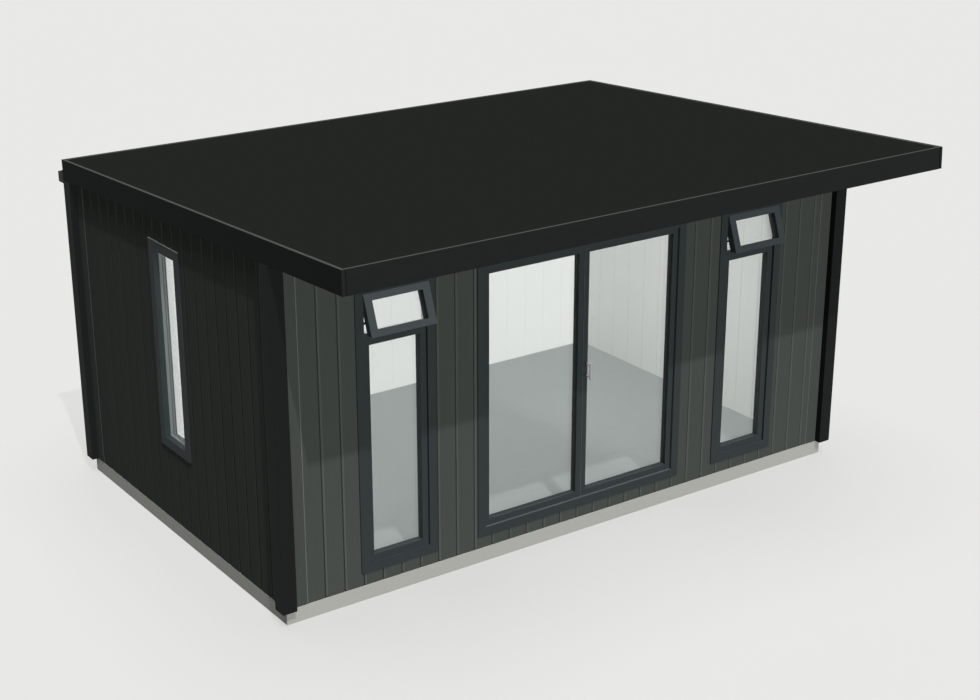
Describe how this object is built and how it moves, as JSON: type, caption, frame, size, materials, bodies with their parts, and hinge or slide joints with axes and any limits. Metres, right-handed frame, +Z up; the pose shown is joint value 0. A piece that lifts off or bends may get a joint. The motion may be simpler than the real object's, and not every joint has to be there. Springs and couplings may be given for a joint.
{
  "type": "garden room",
  "caption": "Flat-roofed garden room on a plinth, dark vertical boarding, deep front canopy, inward-opening glazed double doors and tall windows with open top lights",
  "frame": {"origin": "middle of the plinth's underside, on the ground", "axes": "+X to the right along the front, +Y from the front to the rear, +Z up"},
  "size_m": [4.905, 4.0675, 2.655],
  "materials": {
    "plinth": "smooth pale grey render",
    "floor": "pale grey boards, satin",
    "cladding": "dark grey-green painted boards, matt",
    "lining": "white panels, matt",
    "post": "black, satin",
    "deck": "dark sheathing",
    "membrane": "black sheet, matt",
    "soffit": "black, matt",
    "edge_trim": "grey mill finish",
    "fascia": "black, satin",
    "gutter": "black, satin",
    "frame": "anthracite grey powder coat, satin",
    "glass": "clear double glazing",
    "steel": "satin"
  },
  "bodies": {
    "building": {"plinth": "plinth", "floor": "floor", "front_wall_left": "cladding", "front_wall_right": "cladding", "front_wall_over_door": "cladding", "front_wall_under_door": "cladding", "left_wall": "cladding", "right_wall": "cladding", "rear_wall": "cladding", "front_lining": "lining", "left_lining": "lining", "right_lining": "lining", "rear_lining": "lining", "ceiling": "lining", "post_front_left": "post", "post_front_right": "post", "post_rear_left": "post", "post_rear_right": "post", "roof_deck": "deck", "roof_membrane": "membrane", "soffit": "soffit", "roof_edge_trim": "edge_trim", "fascia_front": "fascia", "fascia_rear": "fascia", "fascia_left": "fascia", "fascia_right": "fascia", "gutter": "gutter", "door_threshold": "frame", "door_head": "frame", "door_jamb_left": "frame", "door_jamb_right": "frame", "hinge_pins": "steel", "left_window_frame": "frame", "left_window_sash": "frame", "left_window_glass": "glass", "right_window_frame": "frame", "right_window_sash": "frame", "right_window_glass": "glass", "window_stays": "steel", "side_window_frame": "frame", "side_window_glass": "glass"},
    "left_door": {"left_door_leaf": "frame", "left_door_glass": "glass", "left_door_hinges": "steel"},
    "right_door": {"right_door_leaf": "frame", "right_door_glass": "glass", "right_door_hinges": "steel", "door_handles": "steel"}
  },
  "joints": [
    {"name": "left_door_swing", "type": "hinge", "parent": "building", "child": "left_door", "pos_m": [-0.849, -1.4285, 1.0925], "axis": [0, 0, 1], "range_deg": [0, 90]},
    {"name": "right_door_swing", "type": "hinge", "parent": "building", "child": "right_door", "pos_m": [0.849, -1.4285, 1.0925], "axis": [0, 0, -1], "range_deg": [0, 90]}
  ]
}
